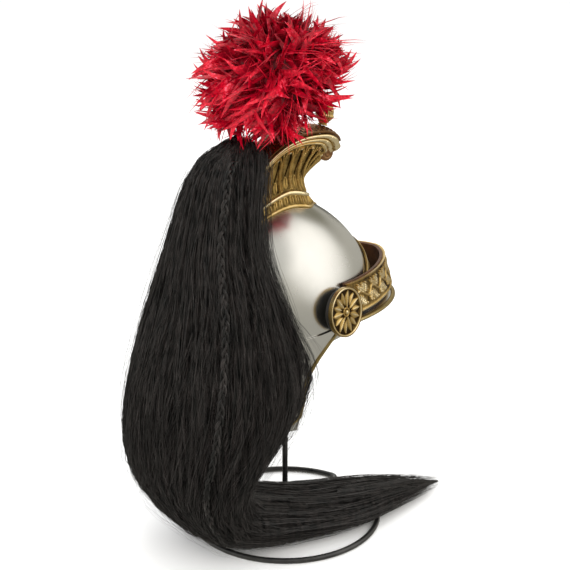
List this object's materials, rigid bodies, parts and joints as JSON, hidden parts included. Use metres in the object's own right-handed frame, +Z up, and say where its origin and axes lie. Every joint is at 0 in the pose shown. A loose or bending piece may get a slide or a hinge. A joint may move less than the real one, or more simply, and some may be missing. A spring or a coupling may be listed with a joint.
{
  "type": "cuirassier helmet on wire stand",
  "caption": "Polished steel dragoon-style parade helmet with brass crest, red feather plume, black horsehair mane and embossed brass chin strap, resting on a bent wire display stand.",
  "frame": {"origin": "underside of the stand's spoke, straight below the post, in the middle of the ring, on the floor", "axes": "+Z up; -Y is the front of the helmet, where the visor and the prow of the crest point; +X is the wearer's left"},
  "size_m": [0.2105, 0.3601, 0.5485],
  "materials": {
    "steel": "mirror polished",
    "brass": "polished, dark in the recesses",
    "aged_brass": "aged, coppery brown",
    "black_leather": "matte black",
    "brown_leather": "worn dark brown",
    "feather": "glossy crimson feather",
    "horsehair": "soft black hair",
    "black_wire": "gloss black"
  },
  "bodies": {
    "root": {"skull": "steel", "neck_guard": "steel", "neck_guard_trim": "brass", "visor": "steel", "visor_trim": "brass", "front_plate": "brass", "crest_side_right": "brass", "crest_side_left": "brass", "crest_top_plate": "aged_brass", "crest_finial": "brass", "rosette_right": "brass", "rosette_pad_right": "black_leather", "rosette_left": "brass", "rosette_pad_left": "black_leather", "strap_leather": "brown_leather", "strap_plate_right": "brass", "strap_plate_left": "brass", "neck_guard_rivet_1": "steel", "neck_guard_rivet_2": "steel", "neck_guard_rivet_3": "steel", "neck_guard_rivet_4": "steel", "plume_socket": "brass", "plume": "feather", "stand_wire": "black_wire", "stand_cap": "black_leather", "mane": "horsehair", "mane_braid": "horsehair"}
  },
  "joints": []
}
